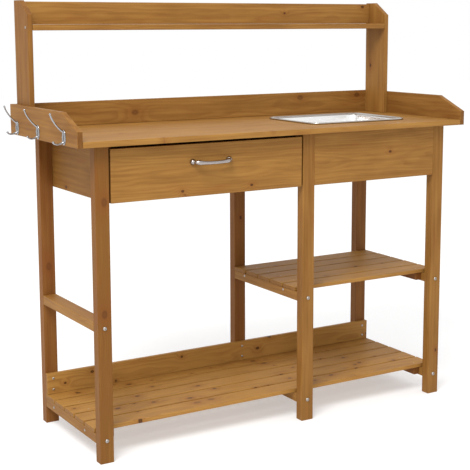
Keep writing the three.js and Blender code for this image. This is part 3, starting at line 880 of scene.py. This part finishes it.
# %% Screws
batten_screw_depths = (-104 * mm, 107 * mm)
lower_screw_height = 63 * mm
middle_screw_height = 365 * mm
post_screw_depth = 134 * mm
left_rail, right_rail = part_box("lower_rail_left"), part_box("lower_rail_right")
centre_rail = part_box("middle_rail_centre")
screw_places = []
for y in batten_screw_depths:
    screw_places += [((left_rail[0].x, y, lower_screw_height), (-1, 0, 0)),
                     ((right_rail[1].x, y, lower_screw_height), (1, 0, 0)),
                     ((centre_rail[0].x, y, middle_screw_height), (-1, 0, 0)),
                     ((right_rail[1].x, y, middle_screw_height), (1, 0, 0))]
back_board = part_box("lower_back_board")
for leg in ("leg_back_left", "leg_back_centre", "leg_back_right"):
    low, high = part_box(leg)
    for z in (back_board[0].z + 13 * mm, back_board[1].z - 15 * mm):
        screw_places.append((((low.x + high.x) / 2, back_board[0].y, z), (0, -1, 0)))
shelf_z = (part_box("hutch_shelf")[0].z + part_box("hutch_shelf")[1].z) / 2
screw_places.append(((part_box("hutch_post_left")[0].x, post_screw_depth, shelf_z), (-1, 0, 0)))
screw_places.append(((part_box("hutch_post_right")[1].x, post_screw_depth, shelf_z), (1, 0, 0)))
for number, (place, facing) in enumerate(screw_places, 1):
    add_fastener(f"screw_{number}", "bench", place, facing, screw_rows)
print(len(screw_places), "screws")

# %% Brads
brad_inset = 52 * mm  # from a slat's end
brad_count = 0
for node in sorted(body_of_node):
    if "_slat_" not in node:
        continue
    low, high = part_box(node)
    for end, x in (("left", low.x + brad_inset), ("right", high.x - brad_inset)):
        place = (x, low.y + 0.25 * (high.y - low.y), high.z)
        add_fastener(f"{node}_brad_{end}", "bench", place, (0, 0, 1), brad_rows)
        brad_count += 1
print(brad_count, "brads")

# %% [markdown]
# ### The hooks
# Each is cast in one piece and chromed: an oval plate with a screw on each side, a rib
# down its middle, a long upper prong for tools and a short lower one, both ending in a
# ball. The plate is a stack of ellipses that shrink as they rise, so its face is domed.

# %% Hooks
plate_half_width = 11 * mm
plate_half_height = 19 * mm
wire_radius = 2.1 * mm
tip_radius = 3.0 * mm
prong_root_radius = 3.4 * mm
screw_aside = 7.2 * mm  # from the middle of the plate to each of its screws


def plate_rings(x_back, y, z):
    """Ellipses, drawn in by each row's inset as the plate rises from its back: inset, then rise."""
    rows = np.array([(0.3, 0.0), (0.0, 0.3), (0.0, 1.2), (0.5, 1.7), (1.6, 2.0), (3.6, 2.3), (6.5, 2.5)]) * mm
    angle = np.linspace(0, 2 * math.pi, 40, endpoint=False)
    across = (plate_half_width - rows[:, :1]) * np.cos(angle)
    up = (plate_half_height - rows[:, :1]) * np.sin(angle)
    return np.stack([x_back - rows[:, 1:] + 0 * across, y + across, z + up], axis=-1)


def prong_rings(points, root_radius):
    """A tapering wire with a ball at its tip: the ball's radius is that of a circle cut at each step."""
    path = smooth_curve(points, 44)
    length = walked(path)
    left = length[-1] - length
    wire = wire_radius + (root_radius - wire_radius) * np.exp(-length / (7 * mm))
    ball = np.sqrt(np.clip(tip_radius ** 2 - (left - tip_radius) ** 2, 0, None))
    tip = np.maximum(ball, wire * (left > tip_radius))
    return bar_rings(path, np.where(left < 2 * tip_radius, tip, wire), (0, 1, 0))


def add_hook(node):
    low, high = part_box(node)
    x_back, y = high.x, (low.y + high.y) / 2
    z = low.z + plate_half_height
    face = x_back - 1.6 * mm
    upper = [(face, y, z + 14 * mm), (face - 9 * mm, y, z + 21 * mm), (face - 20 * mm, y, z + 33 * mm),
             (face - 30 * mm, y, z + 48 * mm), (low.x + 2.6 * mm, y, high.z)]
    lower = [(face, y, z - 12 * mm), (face - 8 * mm, y, z - 15 * mm), (face - 17 * mm, y, z - 16.2 * mm),
             (face - 25 * mm, y, z - 14 * mm), (face - 29 * mm, y, z - 8 * mm)]
    plate = add_rings(f"{node}_plate", plate_rings(x_back, y, z), "bench", chrome, 50)
    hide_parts(node)
    pieces = [plate]
    rib = smooth_curve([(face, y, z - 14 * mm), (face - 1.4 * mm, y, z), (face, y, z + 15 * mm)], 24)
    rib_radius = 2.2 * mm + 1.2 * mm * np.linspace(-1, 1, 24) ** 2
    pieces.append(add_rings(f"{node}_rib", bar_rings(rib, rib_radius, (0, 1, 0)), "bench",
                            chrome, 60))
    for name, points in (("upper", upper), ("lower", lower)):
        pieces.append(add_rings(f"{node}_{name}_prong", prong_rings(points, prong_root_radius), "bench",
                                chrome, 60))
    for name, aside in (("near", -screw_aside), ("far", screw_aside)):
        place = (x_back - 1.9 * mm, y + aside, z)
        pieces.append(add_fastener(f"{node}_{name}_screw", "bench", place, (-1, 0, 0), small_screw_rows))
    return pieces


hook_pieces = [add_hook(node) for node in ("hook_1", "hook_2", "hook_3")]
print("hooks made of", sum(map(len, hook_pieces)), "pieces")

# %% [markdown]
# ### Floor and light
# A studio sweep in white: a pale floor, a white sky that fills every shadow softly, and
# one large lamp high on the left that gives the faces their order from light to dark.

# %% Floor
floor_half = 14.0
floor_glow = 0.4


def add_floor():
    """A wide pale matt sheet under the bench. It glows a little, which keeps the shadows light."""
    corners = np.array([[-1, -1, 0], [1, -1, 0], [1, 1, 0], [-1, 1, 0]]) * floor_half
    mesh = bpy.data.meshes.new("floor")
    mesh.from_pydata(corners.tolist(), [], [[0, 1, 2, 3]])
    sheet_of_paper = bpy.data.objects.new("floor", mesh)
    bpy.context.collection.objects.link(sheet_of_paper)
    material = bpy.data.materials.new("pale_floor")
    material.use_nodes = True
    shader = material.node_tree.nodes["Principled BSDF"]
    shader.inputs["Base Color"].default_value = (0.6, 0.6, 0.6, 1)
    shader.inputs["Roughness"].default_value = 0.9
    shader.inputs["Emission Color"].default_value = (1, 1, 1, 1)
    shader.inputs["Emission Strength"].default_value = floor_glow
    mesh.materials.append(material)
    return sheet_of_paper


floor = add_floor()
print("floor is", 2 * floor_half, "metres wide")

# %% Light
sky_strength = 1.0
world = bpy.data.worlds.new("studio")
bpy.context.scene.world = world
world.use_nodes = True
world.node_tree.nodes["Background"].inputs["Color"].default_value = (1, 1, 1, 1)
world.node_tree.nodes["Background"].inputs["Strength"].default_value = sky_strength
bpy.context.scene.view_settings.view_transform = "Standard"


def add_lamp(name, place, target, size, power):
    """A round soft lamp at a place, turned to face the target."""
    data = bpy.data.lights.new(name, "AREA")
    data.shape = "DISK"
    data.size = size
    data.energy = power
    lamp = bpy.data.objects.new(name, data)
    bpy.context.collection.objects.link(lamp)
    lamp.location = place
    lamp.rotation_euler = (Vector(target) - Vector(place)).to_track_quat("-Z", "Y").to_euler()
    return lamp


lamp_place = (-2.3, -1.9, 3.9)
lamp_target = (0, 0, 0.5)
lamp_size = 2.0
lamp_power = 155
key = add_lamp("key", lamp_place, lamp_target, lamp_size, lamp_power)
print("one lamp of", key.data.energy, "watts")
